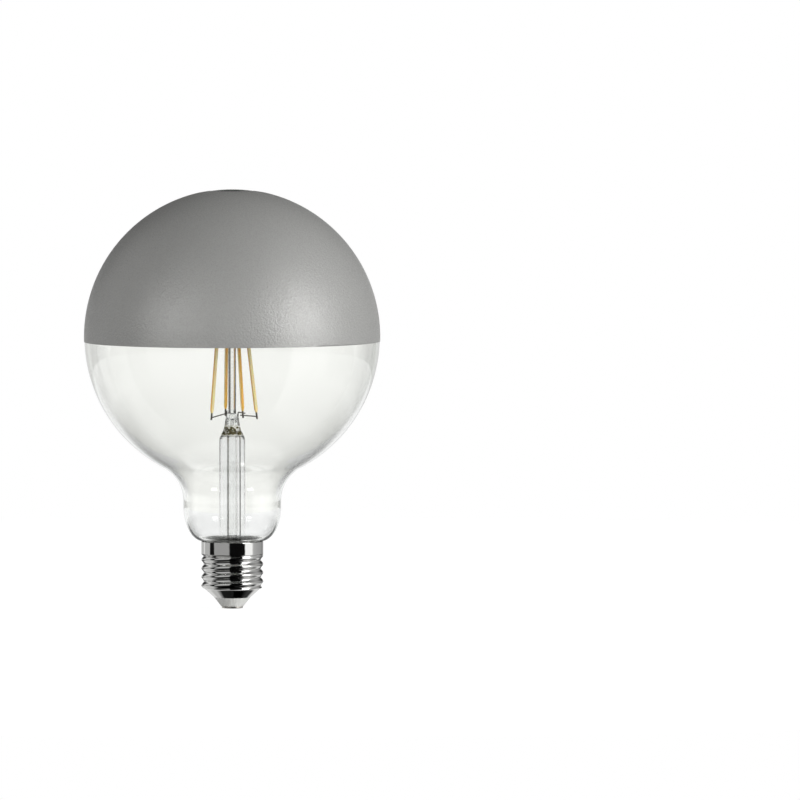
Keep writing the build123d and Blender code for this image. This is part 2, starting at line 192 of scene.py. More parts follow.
stem = {
    "drawnLine": 1.6, "lineStretch": 0.02,  # lines across the tube, drawn out along it
    "lump": 1.2,
    "pressStart": (72.6, 73.4),  # heights between which the glass gets lumpy
    "sealEnd": (76.4, 77.6),  # where the colour of the seal fades
    "lumpEnd": (80.5, 82.5),  # where the glass is smooth again
    "sealColour": [(0.0, "#FFFFFF"), (0.44, "#FAF9F2"), (0.50, "#A79F70"), (0.60, "#554E2A")],
    "clearness": [(0.2, 1.0), (0.3, 0.3), (0.42, 0.3), (0.46, 1.0), (0.52, 1.0), (0.57, 0.4)],
}


def stemGlass(s):  # drawn tube glass: grey green, with fine lines along it, lumpy and stained in the press
    material, tree, output = newMaterial("drawnTubeGlass")
    coords = addNode(tree, "ShaderNodeTexCoord")
    place = coords.outputs["Object"]
    along = addNode(tree, "ShaderNodeMapping", {"Vector": place, "Scale": (1.0, 1.0, s["lineStretch"])})
    lines = addNode(tree, "ShaderNodeTexNoise", {
        "Vector": along.outputs[0], "Scale": metre / s["drawnLine"], "Detail": 2.0})
    lumps = addNode(tree, "ShaderNodeTexNoise", {"Vector": place, "Scale": metre / s["lump"], "Detail": 2.0})
    parts = addNode(tree, "ShaderNodeSeparateXYZ", {0: place})
    share = {}
    for stage in ("pressStart", "sealEnd", "lumpEnd"):
        low, high = s[stage]
        before, after = (0.0, 1.0) if stage == "pressStart" else (1.0, 0.0)
        share[stage] = addNode(tree, "ShaderNodeMapRange", {
            "Value": parts.outputs["Z"], "From Min": low * mm, "From Max": high * mm,
            "To Min": before, "To Max": after}).outputs[0]
    worked = {}
    for stage in ("sealEnd", "lumpEnd"):
        pressed = addNode(tree, "ShaderNodeMath", {0: share["pressStart"], 1: share[stage]},
                          operation="MULTIPLY")
        worked[stage] = addNode(tree, "ShaderNodeMath", {0: lumps.outputs[0], 1: pressed.outputs[0]},
                                operation="MULTIPLY").outputs[0]
    sealed = addNode(tree, "ShaderNodeValToRGB", {"Fac": worked["sealEnd"]}, s["sealColour"])
    clearness = addNode(tree, "ShaderNodeValToRGB", {"Fac": worked["sealEnd"]}, s["clearness"])
    drawn = addNode(tree, "ShaderNodeBump", {
        "Height": lines.outputs[0], "Strength": 0.02, "Distance": 0.1 * mm})
    bump = addNode(tree, "ShaderNodeBump", {
        "Height": worked["lumpEnd"], "Strength": 0.6, "Distance": 0.8 * mm, "Normal": drawn.outputs[0]})
    shader = addNode(tree, "ShaderNodeBsdfPrincipled", {
        "Base Color": sealed.outputs[0], "Roughness": 0.0, "IOR": 1.54,
        "Transmission Weight": clearness.outputs[0], "Normal": bump.outputs[0]})
    tint = addNode(tree, "ShaderNodeVolumeAbsorption", {"Color": hexColour("#B3BBAD"), "Density": 70.0})
    tree.links.new(tint.outputs[0], output.inputs["Volume"])
    return closeMaterial(material, tree, output, shader)


lead = {
    "toneZ": (68.0, 80.0),  # heights between which the tone changes
    "tone": [(0.0, "#4B4946"), (0.2, "#4A4128"), (0.7, "#5C4E2A"), (0.85, "#5E5B56")],
    "stain": 1.5,
}


def leadMetal(w):  # nickel wire with a copper clad seal length: dull grey, olive brown inside the press
    material, tree, output = newMaterial("copperCladSealWire")
    coords = addNode(tree, "ShaderNodeTexCoord")
    place = coords.outputs["Object"]
    parts = addNode(tree, "ShaderNodeSeparateXYZ", {0: place})
    height = addNode(tree, "ShaderNodeMapRange", {
        "Value": parts.outputs["Z"], "From Min": w["toneZ"][0] * mm, "From Max": w["toneZ"][1] * mm})
    tone = addNode(tree, "ShaderNodeValToRGB", {"Fac": height.outputs[0]}, w["tone"])
    stain = addNode(tree, "ShaderNodeTexNoise", {"Vector": place, "Scale": metre / w["stain"], "Detail": 4.0})
    rough = addNode(tree, "ShaderNodeMapRange", {
        "Value": stain.outputs[0], "From Min": 0.3, "From Max": 0.7, "To Min": 0.35, "To Max": 0.5})
    shader = addNode(tree, "ShaderNodeBsdfPrincipled", {
        "Base Color": tone.outputs[0], "Metallic": 1.0, "Roughness": rough.outputs[0]})
    return closeMaterial(material, tree, output, shader)


paint = {"flake": 0.55, "peel": 0.9, "tone": [(0.30, "#9B9B99"), (0.70, "#A3A3A1")]}


def domePaint(p):  # sprayed satin paint with metal flake: orange peel that shows in a soft wide gloss
    material, tree, output = newMaterial("sprayedSatinPaint")
    coords = addNode(tree, "ShaderNodeTexCoord")
    place = coords.outputs["Object"]
    flake = addNode(tree, "ShaderNodeTexNoise", {
        "Vector": place, "Scale": metre / p["flake"], "Detail": 2.0, "Roughness": 0.6})
    peel = addNode(tree, "ShaderNodeTexNoise", {
        "Vector": place, "Scale": metre / p["peel"], "Detail": 3.0, "Roughness": 0.55})
    tone = addNode(tree, "ShaderNodeValToRGB", {"Fac": flake.outputs[0]}, p["tone"])
    rough = addNode(tree, "ShaderNodeMapRange", {
        "Value": flake.outputs[0], "From Min": 0.35, "From Max": 0.68, "To Min": 0.60, "To Max": 0.28})
    bump = addNode(tree, "ShaderNodeBump", {
        "Height": peel.outputs[0], "Strength": 0.75, "Distance": 0.3 * mm})
    shader = addNode(tree, "ShaderNodeBsdfPrincipled", {
        "Base Color": tone.outputs[0], "Metallic": 0.25, "Roughness": rough.outputs[0], "IOR": 1.5,
        "Normal": bump.outputs[0]})
    return closeMaterial(material, tree, output, shader)


plate = {"mark": 9.0, "squeeze": 14.0, "dent": 5.0}  # rolling marks run round the cap


def capNickel(p):  # rolled brass sheet, bright nickel plate: mirror gloss with faint rolling marks
    material, tree, output = newMaterial("brightNickelPlate")
    coords = addNode(tree, "ShaderNodeTexCoord")
    place = coords.outputs["Object"]
    stretch = addNode(tree, "ShaderNodeMapping", {"Vector": place, "Scale": (1.0, 1.0, p["squeeze"])})
    marks = addNode(tree, "ShaderNodeTexNoise", {
        "Vector": stretch.outputs[0], "Scale": metre / p["mark"], "Detail": 4.0})
    rough = addNode(tree, "ShaderNodeMapRange", {
        "Value": marks.outputs[0], "From Min": 0.3, "From Max": 0.7, "To Min": 0.03, "To Max": 0.08})
    dents = addNode(tree, "ShaderNodeTexNoise", {"Vector": place, "Scale": metre / p["dent"], "Detail": 2.0})
    bump = addNode(tree, "ShaderNodeBump", {
        "Height": dents.outputs[0], "Strength": 0.12, "Distance": 0.3 * mm})
    shader = addNode(tree, "ShaderNodeBsdfPrincipled", {
        "Base Color": hexColour("#D3D3D1"), "Metallic": 1.0, "Roughness": rough.outputs[0],
        "Normal": bump.outputs[0]})
    return closeMaterial(material, tree, output, shader)


def capCement(grain):  # filled resin cement: dull grey with mineral grains
    material, tree, output = newMaterial("filledResinCement")
    coords = addNode(tree, "ShaderNodeTexCoord")
    grains = addNode(tree, "ShaderNodeTexVoronoi", {
        "Vector": coords.outputs["Object"], "Scale": metre / grain})
    tone = addNode(tree, "ShaderNodeValToRGB", {"Fac": grains.outputs["Color"]},
                   [(0.0, "#0F0F0E"), (0.6, "#2B2A28"), (1.0, "#8F8C85")])
    bump = addNode(tree, "ShaderNodeBump", {
        "Height": grains.outputs[0], "Strength": 0.4, "Distance": 0.2 * mm})
    shader = addNode(tree, "ShaderNodeBsdfPrincipled", {
        "Base Color": tone.outputs[0], "Roughness": 0.8, "Normal": bump.outputs[0]})
    return closeMaterial(material, tree, output, shader)


def insulatorWhite(grain):  # moulded white thermoset: pale, half gloss, slight flow mottling
    material, tree, output = newMaterial("mouldedThermoset")
    coords = addNode(tree, "ShaderNodeTexCoord")
    flow = addNode(tree, "ShaderNodeTexNoise", {
        "Vector": coords.outputs["Object"], "Scale": metre / grain, "Detail": 5.0})
    tone = addNode(tree, "ShaderNodeValToRGB", {"Fac": flow.outputs[0]}, [(0.3, "#DEDEDA"), (0.7, "#ECECE9")])
    bump = addNode(tree, "ShaderNodeBump", {"Height": flow.outputs[0], "Strength": 0.1, "Distance": 0.2 * mm})
    shader = addNode(tree, "ShaderNodeBsdfPrincipled", {
        "Base Color": tone.outputs[0], "Roughness": 0.32, "IOR": 1.5, "Normal": bump.outputs[0]})
    return closeMaterial(material, tree, output, shader)


def grainyMetal(name, low, high, grain, roughLow, roughHigh):  # drawn or stamped metal with a tarnished skin
    material, tree, output = newMaterial(name)
    coords = addNode(tree, "ShaderNodeTexCoord")
    stain = addNode(tree, "ShaderNodeTexNoise", {
        "Vector": coords.outputs["Object"], "Scale": metre / grain, "Detail": 4.0})
    tone = addNode(tree, "ShaderNodeValToRGB", {"Fac": stain.outputs[0]}, [(0.3, low), (0.7, high)])
    rough = addNode(tree, "ShaderNodeMapRange", {
        "Value": stain.outputs[0], "From Min": 0.3, "From Max": 0.7, "To Min": roughLow, "To Max": roughHigh})
    shader = addNode(tree, "ShaderNodeBsdfPrincipled", {
        "Base Color": tone.outputs[0], "Metallic": 1.0, "Roughness": rough.outputs[0]})
    return closeMaterial(material, tree, output, shader)


def grainyBody(name, low, high, grain, roughness):  # moulded, sintered or laminated body with a fine mottle
    material, tree, output = newMaterial(name)
    coords = addNode(tree, "ShaderNodeTexCoord")
    mottle = addNode(tree, "ShaderNodeTexNoise", {
        "Vector": coords.outputs["Object"], "Scale": metre / grain, "Detail": 4.0})
    tone = addNode(tree, "ShaderNodeValToRGB", {"Fac": mottle.outputs[0]}, [(0.3, low), (0.7, high)])
    bump = addNode(tree, "ShaderNodeBump", {
        "Height": mottle.outputs[0], "Strength": 0.2, "Distance": 0.1 * mm})
    shader = addNode(tree, "ShaderNodeBsdfPrincipled", {
        "Base Color": tone.outputs[0], "Roughness": roughness, "Normal": bump.outputs[0]})
    return closeMaterial(material, tree, output, shader)


def filamentPhosphor(grain):  # phosphor powder in silicone: waxy, amber on broad faces, paler at the sides
    material, tree, output = newMaterial("phosphorSilicone")
    coords = addNode(tree, "ShaderNodeTexCoord")
    place = coords.outputs["Object"]
    lumps = addNode(tree, "ShaderNodeTexNoise", {"Vector": place, "Scale": metre / grain, "Detail": 3.0})
    level = addNode(tree, "ShaderNodeVectorMath", {0: place, 1: (1, 1, 0)}, operation="MULTIPLY")
    outward = addNode(tree, "ShaderNodeVectorMath", {0: level.outputs[0]}, operation="NORMALIZE")
    facing = addNode(tree, "ShaderNodeVectorMath", {0: outward.outputs[0], 1: coords.outputs["Normal"]},
                     operation="DOT_PRODUCT")
    broad = addNode(tree, "ShaderNodeMath", {0: facing.outputs["Value"]}, operation="ABSOLUTE")
    mottle = addNode(tree, "ShaderNodeMath", {0: lumps.outputs[0], 1: 0.25, 2: broad.outputs[0]},
                     operation="MULTIPLY_ADD")
    tone = addNode(tree, "ShaderNodeValToRGB", {"Fac": mottle.outputs[0]},
                   [(0.62, "#F3E3A6"), (1.0, "#E6B24A")])
    bump = addNode(tree, "ShaderNodeBump", {
        "Height": lumps.outputs[0], "Strength": 0.3, "Distance": 0.2 * mm})
    shader = addNode(tree, "ShaderNodeBsdfPrincipled", {
        "Base Color": tone.outputs[0], "Roughness": 0.42, "IOR": 1.41, "Subsurface Weight": 0.5,
        "Subsurface Radius": (1.0, 0.55, 0.15), "Subsurface Scale": 0.6 * mm, "Normal": bump.outputs[0]})
    return closeMaterial(material, tree, output, shader)


blownGlass = globeGlass()
tubeGlass = stemGlass(stem)
satinPaint = domePaint(paint)
nickelPlate = capNickel(plate)
cement = capCement(grain=0.7)
whiteThermoset = insulatorWhite(grain=4.0)
phosphor = filamentPhosphor(grain=1.4)
sealWire = leadMetal(lead)

# two tones and a grain in mm, then a metal's range of roughness or a body's one
oxidisedWire = grainyMetal("oxidisedNickelIronWire", "#4A4742", "#6E6A63", 1.5, 0.35, 0.5)
stampedPin = grainyMetal("stampedNickelIron", "#55524C", "#807B73", 1.2, 0.3, 0.45)
tinnedBrass = grainyMetal("tinnedBrass", "#B4B1AA", "#CFCCC6", 2.5, 0.22, 0.38)
tinnedCopper = grainyMetal("tinnedCopperWire", "#B2AEA6", "#CBC7C0", 1.0, 0.25, 0.35)
enamelledCopper = grainyMetal("enamelledCopper", "#9A4E22", "#B9682F", 0.6, 0.25, 0.4)
fibreLaminate = grainyBody("glassFibreLaminate", "#1F4A2A", "#2F6A3C", 1.2, 0.45)
mouldedBlack = grainyBody("blackMouldingCompound", "#161616", "#242424", 0.5, 0.6)
shrunkSleeve = grainyBody("shrunkSleeve", "#1A1F33", "#252B45", 2.0, 0.3)
sinteredFerrite = grainyBody("sinteredFerrite", "#2A2A2B", "#3C3C3D", 0.5, 0.7)
fuseLacquer = grainyBody("lacquer", "#6E8A80", "#86A298", 1.0, 0.3)
print("materials made")


globe = {
    "outerR": 62.3, "wall": 0.9,
    "neckR": 20.6, "throatR": 16.0, "throatZ": 45.28, "shoulderZ": 42.9,
    "ledgeR": 12.4, "seatZ": 28.4, "tailRound": 1.1, "tailR": 11.3, "tailZ": 18.0,
    "around": 160, "bowlSteps": 76, "throatSteps": 22, "neckSteps": 2,
    "shoulderSteps": 24, "roundSteps": 8, "tailSteps": 3,
}


def makeGlobe(g):
    reach = g["neckR"] + g["throatR"]
    middleZ = g["throatZ"] + math.sqrt((g["outerR"] + g["throatR"]) ** 2 - reach ** 2)
    dip = math.degrees(math.asin((middleZ - g["throatZ"]) / (g["outerR"] + g["throatR"])))
    bm, end = startProfile(0, middleZ + g["outerR"])
    end = arcOn(bm, end, (0, middleZ), 90 + dip, g["bowlSteps"])
    end = arcOn(bm, end, (reach, g["throatZ"]), -dip, g["throatSteps"])
    end = lineOn(bm, end, g["neckR"], g["shoulderZ"], g["neckSteps"])
    before = set(bm.verts)
    end = arcOn(bm, end, (g["ledgeR"], g["shoulderZ"]), 90, g["shoulderSteps"])
    width = g["neckR"] - g["ledgeR"]
    height = g["shoulderZ"] - g["seatZ"]
    bmesh.ops.scale(
        bm, vec=(1, 1, height / width), space=Matrix.Translation((0, 0, -g["shoulderZ"] * mm)),
        verts=[v for v in bm.verts if v not in before])
    end = arcOn(bm, end, (g["ledgeR"], g["seatZ"] - g["tailRound"]), -90, g["roundSteps"])
    lineOn(bm, end, g["tailR"], g["tailZ"], g["tailSteps"])
    turnRound(bm, g["around"])
    piece = finishPiece(bm, "globeGlass", blownGlass, "glass_globe", sharpAngle=60)
    wall = piece.modifiers.new("wall", "SOLIDIFY")
    wall.thickness = g["wall"] * mm
    wall.offset = -1
    wall.use_even_offset = True
    piece.visible_shadow = False  # light reaches the mount inside
    return middleZ


globeZ = makeGlobe(globe)
print("globe blown, middle at", round(globeZ, 2))


coat = {
    "outerR": 62.47, "thickness": 0.15, "windowR": 9.35, "around": 160, "steps": 120,
    "edgeDrop": 1.9, "skew": 0.6, "lowBearing": 261,  # the edge dips at the front
    "feather": 5.0, "thin": 0.05,  # degrees in which the film runs out to the window, and what is left
}


def makeCoat(c):
    windowAngle = math.degrees(math.asin(c["windowR"] / c["outerR"]))
    pastEdge = math.degrees(math.asin((c["edgeDrop"] + 2 * c["skew"]) / c["outerR"]))  # room for the cut
    start = math.radians(windowAngle)
    bm, end = startProfile(c["outerR"] * math.sin(start), globeZ + c["outerR"] * math.cos(start))
    arcOn(bm, end, (0, globeZ), 90 - windowAngle + pastEdge, c["steps"])
    turnRound(bm, c["around"])
    slope, low = c["skew"] / c["outerR"], math.radians(c["lowBearing"])
    bmesh.ops.bisect_plane(
        bm, geom=bm.verts[:] + bm.edges[:] + bm.faces[:], dist=weld,
        plane_co=(0, 0, (globeZ - c["edgeDrop"]) * mm),
        plane_no=(slope * math.cos(low), slope * math.sin(low), 1), clear_inner=True)
    bm.verts.index_update()
    centre = Vector((0, 0, globeZ * mm))
    share = {}
    for vert in bm.verts:
        ray = vert.co - centre
        inside = math.degrees(ray.angle(Vector((0, 0, 1)))) - windowAngle
        share[vert.index] = c["thin"] + (1 - c["thin"]) * min(max(inside / c["feather"], 0), 1)
        vert.co -= ray.normalized() * (1 - share[vert.index]) * c["thickness"] * mm
    piece = finishPiece(bm, "domePaint", satinPaint, "dome_coating", sharpAngle=60)
    depth = piece.vertex_groups.new(name="depth")
    for index, weight in share.items():
        depth.add([index], weight, "REPLACE")
    film = piece.modifiers.new("film", "SOLIDIFY")
    film.thickness = c["thickness"] * mm
    film.offset = -1
    film.vertex_group = "depth"
    return piece


softPieces = bpy.data.collections.new("softPieces")  # what the left lamp lights
softPieces.objects.link(makeCoat(coat))
print("dome painted")


shell = {
    "capHeight": 28.2, "skirtR": 13.15, "skirtZ": 22.9, "skirtTaper": 0.9, "wall": 0.3,
    "crestR": 13.1, "depth": 1.0, "pitch": 3.629, "bearing": 56.6, "runout": 0.9,
    "tipR": 7.6, "tipZ": 4.5, "coneTopR": 11.4, "threadZ": 8.0,
    "soften": 0.22,  # rolled sheet has no sharp folds
    "threadSink": 2.0,  # how fast the thread sinks away above the skirt's foot
    "rowStep": 0.14, "rimSteps": 6, "around": 144,
}


def softMin(a, b, k):
    h = max(k - abs(a - b), 0) / k
    return min(a, b) - h * h * k / 4


def shellRadius(s, z, azimuth, wall):
    lean = azimuth - math.radians(s["bearing"] + 360 * (z - s["skirtZ"]) / s["pitch"])
    off = s["depth"] / 2
    column = s["crestR"] - off - wall
    thread = off * math.cos(lean) + math.sqrt(column ** 2 - (off * math.sin(lean)) ** 2)
    slope = (s["coneTopR"] - s["tipR"]) / (s["threadZ"] - s["tipZ"])
    cone = s["tipR"] + slope * (z - s["tipZ"]) - wall * math.sqrt(1 + slope ** 2)
    fade = s["coneTopR"] - wall + (s["skirtR"] - s["coneTopR"]) * (z - s["threadZ"]) / s["runout"]
    bound = cone if z < s["threadZ"] else max(cone, fade)
    low = softMin(thread, bound, s["soften"]) - s["threadSink"] * max(z - s["skirtZ"], 0)
    rise = min((z - s["skirtZ"]) / s["skirtTaper"], 0)
    taper = s["skirtR"] - wall + rise * (s["skirtR"] - s["crestR"] + s["depth"])
    return -softMin(-low, -taper, s["soften"])  # the softened larger one


def makeShell(s):
    bm = bmesh.new()
    depth = bm.verts.layers.float.new("depth")  # how far a point lies inside the outer face
    first = bm.verts.new((s["tipR"] * mm, 0, s["tipZ"] * mm))
    top = s["capHeight"] - s["wall"] / 2
    rows = round((top - s["tipZ"]) / s["rowStep"])
    end = lineOn(bm, first, s["tipR"], top, rows)
    end = arcOn(bm, end, (s["tipR"] - s["wall"] / 2, top), -180, s["rimSteps"])
    last = lineOn(bm, end, s["tipR"] - s["wall"], s["tipZ"], rows)
    for vert in bm.verts:
        vert[depth] = s["tipR"] - vert.co.x / mm
    bm.edges.new((first, last))
    turnRound(bm, s["around"])
    for vert in bm.verts:
        azimuth = math.atan2(vert.co.y, vert.co.x)
        radius = shellRadius(s, vert.co.z / mm, azimuth, vert[depth]) * mm
        vert.co.x = radius * math.cos(azimuth)
        vert.co.y = radius * math.sin(azimuth)
    bmesh.ops.recalc_face_normals(bm, faces=bm.faces[:])
    finishPiece(bm, "screwShell", nickelPlate, "screw_shell", sharpAngle=50)


makeShell(shell)
print("screw shell rolled")


foot = {
    "footR": 4.8, "contactZ": 0.9, "lipR": 7.6, "lipZ": 4.48, "neckR": 7.1, "bedR": 9.4, "bedZ": 6.6,
    "holeR": 1.52, "contactR": 4.5, "contactRound": 0.4, "eyeletR": 1.5, "eyeletZ": 7.2,
    "around": 96, "discSteps": 4, "roundSteps": 6,
}


def makeInsulator(f):
    bm, first = startProfile(f["holeR"], f["contactZ"])
    end = first
    for x, z in ((f["footR"], f["contactZ"]), (f["lipR"], f["lipZ"]), (f["neckR"], f["lipZ"]),
                 (f["bedR"], f["bedZ"]), (f["holeR"], f["bedZ"])):
        end = lineOn(bm, end, x, z)
    bm.edges.new((end, first))
    turnRound(bm, f["around"])
    finishPiece(bm, "capInsulator", whiteThermoset, "cap_insulator", sharpAngle=30)


def makeContact(f):
    flatR = f["contactR"] - f["contactRound"]
    bm, end = startProfile(0, 0)
    end = lineOn(bm, end, flatR, 0, f["discSteps"])
    end = arcOn(bm, end, (flatR, f["contactRound"]), -90, f["roundSteps"])
    for x, z in ((f["contactR"], f["contactZ"]), (f["eyeletR"], f["contactZ"]),
                 (f["eyeletR"], f["eyeletZ"]), (0, f["eyeletZ"])):
        end = lineOn(bm, end, x, z)
    turnRound(bm, f["around"])
    finishPiece(bm, "centreContact", tinnedBrass, "centre_contact", sharpAngle=30)


makeInsulator(foot)
makeContact(foot)
print("insulator and contact made")


# the mount keeps its built shapes, with smooth faces
for node, name in (("stem_flare", "stemGlass"), ("exhaust_tube", "exhaustTube"), ("centre_rod", "centreRod")):
    glassPiece = smoothCopy(node, name, tubeGlass)
    glassPiece.visible_shadow = False
for side in ("left", "right"):
    smoothCopy("lead_wire_" + side, "leadWire." + side, sealWire)
    smoothCopy("link_wire_" + side, "linkWire." + side, oxidisedWire)
for side in ("front", "rear"):
    smoothCopy("top_wire_" + side, "topWire." + side, oxidisedWire)
    for end in ("left", "right"):
        place = side + "_" + end
        stick = smoothCopy("filament_" + place, "filament." + place, phosphor)
        softPieces.objects.link(stick)
smoothCopy("filament_lower_pins", "lowerPins", stampedPin)
smoothCopy("filament_upper_pins", "upperPins", stampedPin)
smoothCopy("cap_cement", "capCement", cement)
print("mount dressed")


driver = {
    "driver_board": (fibreLaminate, "board_laminate"),
    "bridge_rectifier": (mouldedBlack, "package_black"),
    "driver_chip": (mouldedBlack, "package_black"),
    "smoothing_capacitor": (shrunkSleeve, "capacitor_sleeve"),
    "choke_core": (sinteredFerrite, "choke_ferrite"),
    "choke_winding": (enamelledCopper, "choke_copper"),
    "fuse_resistor": (fuseLacquer, "fuse_lacquer"),
    "fuse_leads": (tinnedCopper, "tinned_copper"),
    "shell_wire": (tinnedCopper, "tinned_copper"),
}
for node, (material, slot) in driver.items():
    smoothCopy(node, "driver." + node, material)
print("driver dressed")


sweep = {
    "radius": 0.7, "segments": 96,
    "drop": 0.2,  # mm below the contact
    "matt": (0.8, 0.8, 0.8, 1), "glow": 1.12, "glowShare": 0.86,
    "paintedShadowRing": [(0.045, 0.0), (0.055, 1.0), (0.13, 1.0), (0.24, 0.0)],  # a dark ring, by metres from the axis: a painted shadow round the foot of the bulb
    "ringLoss": 1.05, "rimDepth": 2.5,  # seen through the glass it paints shade on the rim of the glass, where a ray crosses few faces
    "ringGlow": 0.15, "ringBehind": 0.04,  # and shows dimly in the metal as a painted dark reflection, only from behind the bulb
}


def makeFloor(f):
    bm = bmesh.new()
    bmesh.ops.create_circle(bm, cap_ends=True, segments=f["segments"], radius=f["radius"])
    bmesh.ops.translate(bm, verts=bm.verts[:], vec=(0, 0, -f["drop"] * mm))
    material, tree, output = newMaterial("whiteSweep")
    coords = addNode(tree, "ShaderNodeTexCoord")
    reach = addNode(tree, "ShaderNodeVectorMath", {0: coords.outputs["Object"]}, operation="LENGTH")
    # painted shadow: a dark ring on the floor, seen only through the rim of the glass and mirrored in the
    # metal
    paintedShadowRing = addNode(tree, "ShaderNodeValToRGB", {"Fac": reach.outputs["Value"]}, f["paintedShadowRing"])
    rays = addNode(tree, "ShaderNodeLightPath").outputs
    seen = addNode(tree, "ShaderNodeMath", {0: rays["Is Camera Ray"], 1: rays["Is Transmission Ray"]},
                   operation="MAXIMUM")
    shown = addNode(tree, "ShaderNodeMath", {0: seen.outputs[0], 1: rays["Is Glossy Ray"]},
                    operation="MAXIMUM")
    share = addNode(tree, "ShaderNodeMath", {0: shown.outputs[0], 1: f["glowShare"]}, operation="MULTIPLY")
    fewFaces = addNode(tree, "ShaderNodeMath", {0: rays["Transmission Depth"], 1: f["rimDepth"]},
                       operation="LESS_THAN")
    rim = addNode(tree, "ShaderNodeMath", {0: fewFaces.outputs[0], 1: rays["Is Transmission Ray"]},
                  operation="MULTIPLY")
    dim = addNode(tree, "ShaderNodeMath", {0: rim.outputs[0], 1: paintedShadowRing.outputs[0]}, operation="MULTIPLY")
    strength = addNode(tree, "ShaderNodeMath", {0: dim.outputs[0], 1: -f["ringLoss"], 2: f["glow"]},
                       operation="MULTIPLY_ADD")
    matt = addNode(tree, "ShaderNodeBsdfDiffuse", {"Color": f["matt"]})
    glow = addNode(tree, "ShaderNodeEmission", {"Color": white, "Strength": strength.outputs[0]})
    paper = addNode(tree, "ShaderNodeMixShader", {
        0: share.outputs[0], 1: matt.outputs[0], 2: glow.outputs[0]})
    # painted reflection: the dark ring shows dimly in the metal, only from behind the bulb
    parts = addNode(tree, "ShaderNodeSeparateXYZ", {0: coords.outputs["Object"]})
    behind = addNode(tree, "ShaderNodeMapRange", {"Value": parts.outputs["Y"], "From Max": f["ringBehind"]})
    backRing = addNode(tree, "ShaderNodeMath", {0: paintedShadowRing.outputs[0], 1: behind.outputs[0]},
                       operation="MULTIPLY")
    unseen = addNode(tree, "ShaderNodeBsdfTransparent")
    dark = addNode(tree, "ShaderNodeEmission", {"Color": white, "Strength": f["ringGlow"]})
    paintedReflection = addNode(tree, "ShaderNodeMixShader", {
        0: backRing.outputs[0], 1: unseen.outputs[0], 2: dark.outputs[0]})
    mirrored = addNode(tree, "ShaderNodeMath", {0: rays["Is Glossy Ray"], 1: rays["Is Transmission Ray"]},
                       operation="GREATER_THAN")
    whole = addNode(tree, "ShaderNodeMixShader", {
        0: mirrored.outputs[0], 1: paper.outputs[0], 2: paintedReflection.outputs[0]})
    closeMaterial(material, tree, output, whole)
    mesh = bpy.data.meshes.new("floor")
    bm.to_mesh(mesh)
    bm.free()
    mesh.materials.append(material)
    floor = bpy.data.objects.new("floor", mesh)
    scene.collection.objects.link(floor)


# each lamp: azimuth from the front to the right, elevation, distance, width, height and radiance
lamps = {
    "right": (54.5, 13, 1.0, 0.54, 0.58, 6.1),
    "left": (-51, 12, 1.0, 0.46, 0.46, 2.9),
    "side": (115, 50, 1.0, 0.5, 0.5, 3.3),
    "front": (12, 14, 1.6, 0.8, 0.8, 3.2),
    "sparkRight": (47, 23, 1.0, 0.24, 0.16, 6.0),
    "sparkLeft": (-47, 23, 1.0, 0.24, 0.16, 6.0),
}
lampUse = {
    "aimZ": 0.1,
    "mirrored": ("right", "left"),  # the fills don't show in the metal
    "sparks": ("sparkRight", "sparkLeft"),  # these show only as small lights in the glass
    "flagged": ("left",),  # kept off the metal and the glass
}


def makeLamp(name, azimuth, elevation, distance, width, height, radiance):
    data = bpy.data.lights.new(name, "AREA")
    data.shape = "RECTANGLE"
    data.size = width
    data.size_y = height
    data.energy = radiance * math.pi * width * height
    lamp = bpy.data.objects.new(name, data)
    turn, rise = math.radians(azimuth), math.radians(elevation)
    towards = Vector((math.sin(turn) * math.cos(rise), -math.cos(turn) * math.cos(rise), math.sin(rise)))
    lamp.location = Vector((0, 0, lampUse["aimZ"])) + towards * distance
    lamp.rotation_mode = "QUATERNION"
    lamp.rotation_quaternion = towards.to_track_quat("Z", "Y")
    lamp.visible_camera = False
    lamp.visible_glossy = name in lampUse["mirrored"]
    lamp.visible_transmission = name in lampUse["sparks"]
    lamp.visible_diffuse = name not in lampUse["sparks"]
    if name in lampUse["flagged"]:
        lamp.light_linking.receiver_collection = softPieces
    scene.collection.objects.link(lamp)


# what the bulb mirrors, by the bearing round it as a share of a full turn, from straight behind and
# clockwise from above: level with the camera, then higher, lower and far down
reflected = [
    (0.0, 0.8), (0.062, 0.8), (0.077, 0.25), (0.142, 0.44), (0.20, 0.5), (0.262, 0.6), (0.285, 1.35),
    (0.362, 1.35), (0.370, 0.005), (0.525, 0.005), (0.535, 0.45), (0.696, 0.45), (0.700, 0.01),
    (0.752, 0.01), (0.757, 0.62), (0.835, 0.6), (0.842, 1.0), (0.862, 1.0), (0.875, 0.6), (0.91, 0.6),
    (0.925, 0.8), (1.0, 0.8),
]
reflectedHigh = [
    (0.0, 0.03), (0.077, 0.05), (0.142, 0.44), (0.20, 0.5), (0.262, 0.6), (0.285, 1.35), (0.362, 1.35),
    (0.370, 0.005), (0.525, 0.005), (0.535, 0.75), (0.696, 0.75), (0.700, 0.01), (0.752, 0.01), (0.757, 0.62),
    (0.835, 0.6), (0.842, 1.0), (0.862, 1.0), (0.875, 0.5), (0.91, 0.05), (1.0, 0.03),
]
reflectedLow = [
    (0.0, 0.9), (0.062, 0.9), (0.077, 0.75), (0.142, 0.75), (0.20, 0.7), (0.28, 0.75), (0.362, 0.9),
    (0.370, 0.005), (0.525, 0.005), (0.535, 0.08), (0.696, 0.08), (0.700, 0.02), (0.752, 0.02), (0.757, 0.65),
    (0.86, 0.8), (0.91, 0.8), (0.925, 0.9), (1.0, 0.9),
]
reflectedDeep = [
    (0.0, 0.8), (0.035, 0.8), (0.055, 0.05), (0.15, 0.05), (0.18, 0.5), (0.28, 0.7), (0.362, 0.9),
    (0.370, 0.005), (0.525, 0.005), (0.535, 0.06), (0.696, 0.06), (0.700, 0.02), (0.752, 0.02), (0.757, 0.6),
    (0.86, 0.75), (0.93, 0.6), (0.965, 0.8), (1.0, 0.8),
]

